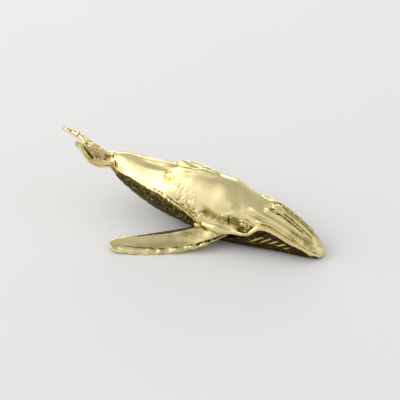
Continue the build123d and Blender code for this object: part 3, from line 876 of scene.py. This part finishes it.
left_finger = [
    (-23.4, -9.8, 20.0), (-23.6, -9.8, 19.6), (-23.7, -9.6, 19.0), (-23.5, -9.4, 18.3), (-23.1, -9.2, 17.9),
]
right_finger = [
    (-23.1, -9.2, 19.8), (-23.0, -9.0, 19.0), (-22.9, -8.8, 18.0), (-22.8, -8.6, 17.0), (-22.5, -8.2, 16.0),
]
lower_rim = [
    (-22.6, -8.2, 16.0), (-22.1, -7.6, 14.8), (-21.5, -6.8, 13.6), (-20.9, -5.9, 12.8), (-20.0, -4.9, 12.4),
    (-19.4, -3.8, 12.0), (-18.6, -3.1, 11.8),
]
far_beads = [
    (-34.0, 1.4, 15.4), (-33.0, 1.2, 15.3), (-32.1, 0.9, 15.3), (-31.0, 0.8, 15.3), (-29.6, 0.5, 15.2),
    (-28.4, 0.1, 15.0), (-27.2, -0.6, 14.8),
]
neck = [
    (-21.2, -0.4, 10.9), (-20.2, -0.1, 10.75), (-19.0, 0.0, 10.56), (-18.0, 0.0, 10.5), (-17.0, 0.0, 10.4),
]
flukes_copy = wax_copy("tail_flukes", "flukes", grain=0.12, rounds=4, rolls=(
    (left_finger, (0.35, 0.42, 0.40, 0.30, 0.15)),
    (right_finger, (0.25, 0.38, 0.42, 0.42, 0.35)),
    (lower_rim, (0.35, 0.45, 0.55, 0.70, 0.85, 0.90, 0.75)),
    (far_beads, (0.42, 0.40, 0.34, 0.50, 0.58, 0.55, 0.35)),
    (neck, (2.0, 2.5, 2.9, 2.9, 2.5)),
))
start_places, _ = points_of(flukes_copy)
even_out(flukes_copy, eased((start_places[:, 0] + 20.6) / 1.0), rounds=25)
flukes = Carving(flukes_copy)
for point, share in (
    ((-26.6, 2.3, 13.3), 0.45), ((-25.3, 1.6, 13.6), 0.85), ((-24.2, 1.8, 13.0), 0.85),
    ((-22.9, 1.1, 13.1), 0.6),
):
    flukes.pull(point, width=2.2, move=(0.24 * share, -0.47 * share, -0.85 * share), mirror=False)
flukes.settle()
crumpled = eased((2.6 - np.abs(flukes.places[:, 0] + 24.3)) / 1.2) * eased((flukes.places[:, 1] + 1.2) / 1.5)
flukes.wear(crumpled, rounds=30)
lift_stock(flukes)
flukes.stroke(
    [(-23.7, -7.9, 18.9), (-23.2, -7.7, 18.2), (-22.7, -7.6, 17.4), (-22.3, -7.2, 16.4), (-21.8, -6.8, 15.2),
     (-21.2, -6.2, 14.0)],
    width=0.75, height=-0.30, toned=0.85, rough=0.3, mirror=False,
)
flukes.stroke(
    [(-23.6, -9.6, 18.6), (-23.3, -9.3, 17.8), (-23.0, -8.9, 17.0)],
    width=0.3, height=-0.15, toned=0.9, mirror=False,
)
for start, middle, end, dark, gold in (
    ((-23.4, -7.2, 18.0), (-22.4, -6.9, 16.6), (-21.2, -5.9, 14.3), 0.30, 0.4),
    ((-23.6, -6.0, 17.2), (-22.2, -5.9, 15.8), (-20.8, -4.9, 13.5), 0.85, 0.8),
    ((-24.0, -5.0, 16.6), (-22.3, -5.1, 15.4), (-20.6, -4.1, 13.3), 0.70, 0.8),
    ((-24.6, -3.7, 15.9), (-22.4, -4.1, 15.1), (-20.5, -3.3, 13.2), 0.30, 0.3),
    ((-24.8, -2.6, 15.3), (-22.4, -3.1, 14.7), (-20.6, -2.5, 13.2), 0.20, 0.2),
):
    flukes.stroke([start, middle, end], width=0.34, height=-0.22, toned=dark, rough=0.5, mirror=False)
    flukes.stroke(
        shifted((start, middle, end), 0.1, 0.5, 0.0),
        width=0.32, height=0.16, warm=gold, rough=0.3, mirror=False,
    )
flukes.stroke(
    [(-24.6, -1.6, 15.0), (-22.9, -1.9, 14.6), (-21.9, -1.2, 13.8), (-21.0, -0.5, 13.3), (-19.4, -0.2, 13.5)],
    width=0.40, height=0.22, toned=-0.3, mirror=False,
)
flukes.stroke(
    [(-26.8, -0.6, 14.9), (-25.2, -0.6, 14.8), (-23.7, -1.2, 14.8), (-22.4, -0.9, 14.1)],
    width=0.35, height=-0.20, toned=0.8, mirror=False,
)
flukes.stroke(
    [(-21.2, -1.0, 13.1), (-20.4, -1.2, 12.9), (-19.4, -1.5, 12.9)],
    width=0.9, height=-0.10, toned=0.22, warm=0.3, rough=0.3, mirror=False,
)
flukes.stroke(
    [(-21.4, -3.6, 12.6), (-20.6, -3.4, 12.2), (-19.6, -2.9, 11.9), (-18.8, -2.8, 11.6)],
    width=0.8, height=0.14, toned=-0.5, warm=0.5, rough=0.3, mirror=False,
)
flukes.stroke(
    [(-27.2, -1.3, 14.7), (-25.8, -2.2, 15.0), (-24.6, -4.2, 15.9), (-23.9, -6.2, 17.1)],
    width=1.0, height=-0.20, toned=0.60, rough=0.3, mirror=False,
)
for bead, following in zip(far_beads, far_beads[1:]):
    flukes.dab(bead, width=0.75, height=0.28, mirror=False)
    flukes.dab(halfway(bead, following), width=0.45, height=-0.30, toned=0.55, mirror=False)
flukes.dab((-29.2, -0.1, 15.2), width=0.4, height=-0.20, toned=0.9, mirror=False)
flukes.dab((-31.6, 0.9, 15.5), width=0.4, height=-0.16, toned=0.6, warm=0.5, mirror=False)
# Painted warm reflection and a faint painted shade, growing towards the tail stock
flukes.warm = np.clip(flukes.warm + 0.14 * eased((flukes.places[:, 0] + 23.5) / 2.5), 0, 1)
flukes.toned = np.clip(flukes.toned + 0.05 * eased((flukes.places[:, 0] + 28.0) / 3.0), 0, 1)
# The rims of the near lobe are cleared of painted shade and warmth, left bright as a painted highlight
for rim in (left_finger, right_finger, lower_rim):
    flukes.stroke(rim, width=0.8, toned=-0.8, warm=-0.5, mirror=False)
mark_seam(flukes)
flukes.ripple(size=1.2, height=0.10)
flukes.done(tail_brass, "tail_flukes")

# Bead round the tail seam, worn level with the skin: it is drawn in towards the middle of the stock

STOCK_MIDDLE = (0.0, 10.5)  # y and z
BEAD_SHARE = 0.865
seam = Carving(wax_copy("tail_braze", "tail_bead", grain=0.09, rounds=4))
seam.places[:, 1:] = STOCK_MIDDLE + (seam.places[:, 1:] - STOCK_MIDDLE) * BEAD_SHARE
lift_stock(seam)
mark_seam(seam)
seam.ripple(size=0.8, height=0.22)
seam.done(tail_brass, "tail_braze")

# Floor, light and camera

bpy.ops.object.select_all(action="DESELECT")
bpy.ops.mesh.primitive_plane_add(size=6.0, location=(0.0, 0.0, 0.0))
floor = bpy.context.view_layer.objects.active
floor.name = "floor"
paper = bpy.data.materials.new("pale_paper")
paper.use_nodes = True
paper.node_tree.nodes["Principled BSDF"].inputs["Base Color"].default_value = (0.88, 0.88, 0.87, 1.0)
paper.node_tree.nodes["Principled BSDF"].inputs["Roughness"].default_value = 0.8
floor.data.materials.append(paper)

world = bpy.data.worlds.new("soft_room")
bpy.context.scene.world = world
world.use_nodes = True
room = world.node_tree
direction = add(room, "ShaderNodeTexCoord").outputs["Generated"]


def toward(x, y, z):
    """How much a direction of the room lies towards this one."""
    dot = add(room, "ShaderNodeVectorMath", operation="DOT_PRODUCT")
    room.links.new(direction, dot.inputs[0])
    dot.inputs[1].default_value = Vector((x, y, z)).normalized()
    return dot.outputs["Value"]


# Soft glows on an even room: where each lies, where it starts and is full, and its strength
level = 0.55
for place, start, full, strength in (
    ((-0.55, -0.62, 0.56), 0.55, 0.96, 0.38),
    ((-0.72, -0.28, 0.64), 0.72, 1.00, 0.30),
    ((0.48, -0.76, 0.42), 0.89, 1.00, 0.34),
    ((0.75, 0.20, 0.50), 0.80, 1.00, 0.30),
):
    glow = soft_range(room, toward(*place), start, full)
    level = math_node(room, "MULTIPLY_ADD", glow, strength, level)
room.links.new(level, room.nodes["Background"].inputs["Strength"])
room.nodes["Background"].inputs["Color"].default_value = (1.0, 1.0, 1.0, 1.0)


def soft_box(name, place, size, power):
    """A broad lamp that is aimed at the whale."""
    lamp = bpy.data.lights.new(name, "AREA")
    lamp.shape = "RECTANGLE"
    lamp.size, lamp.size_y = size
    lamp.energy = power
    holder = bpy.data.objects.new(name, lamp)
    bpy.context.scene.collection.objects.link(holder)
    holder.location = place
    whale = Vector((0.0, 0.0, 0.008))
    holder.rotation_euler = (whale - Vector(place)).to_track_quat("-Z", "Y").to_euler()


soft_box("left_box", (-0.60, -0.25, 0.45), (0.80, 0.60), 1.7)
soft_box("back_box", (-0.34, 0.68, 0.22), (0.6, 0.20), 1.1)

# The camera stands 330 mm from the whale, at the photograph's angle.
DISTANCE = 0.330
camera_data = bpy.data.cameras.new("camera")
camera = bpy.data.objects.new("camera", camera_data)
bpy.context.scene.collection.objects.link(camera)
azimuth, elevation = math.radians(27), math.radians(32)
back = Vector((
    math.sin(azimuth) * math.cos(elevation), -math.cos(azimuth) * math.cos(elevation), math.sin(elevation),
))
right = Vector((math.cos(azimuth), math.sin(azimuth), 0.0))
up = back.cross(right)
aim = (Vector((4.44, -2.0, 6.0)) + up * 1.61 - right * 0.23) * MM
camera.location = aim + back * DISTANCE
camera.rotation_euler = (-back).to_track_quat("-Z", "Y").to_euler()
camera_data.lens = 129.2
camera_data.sensor_width = 36.0
camera_data.clip_start = 0.01
bpy.context.scene.camera = camera
bpy.context.scene.view_settings.view_transform = "Standard"
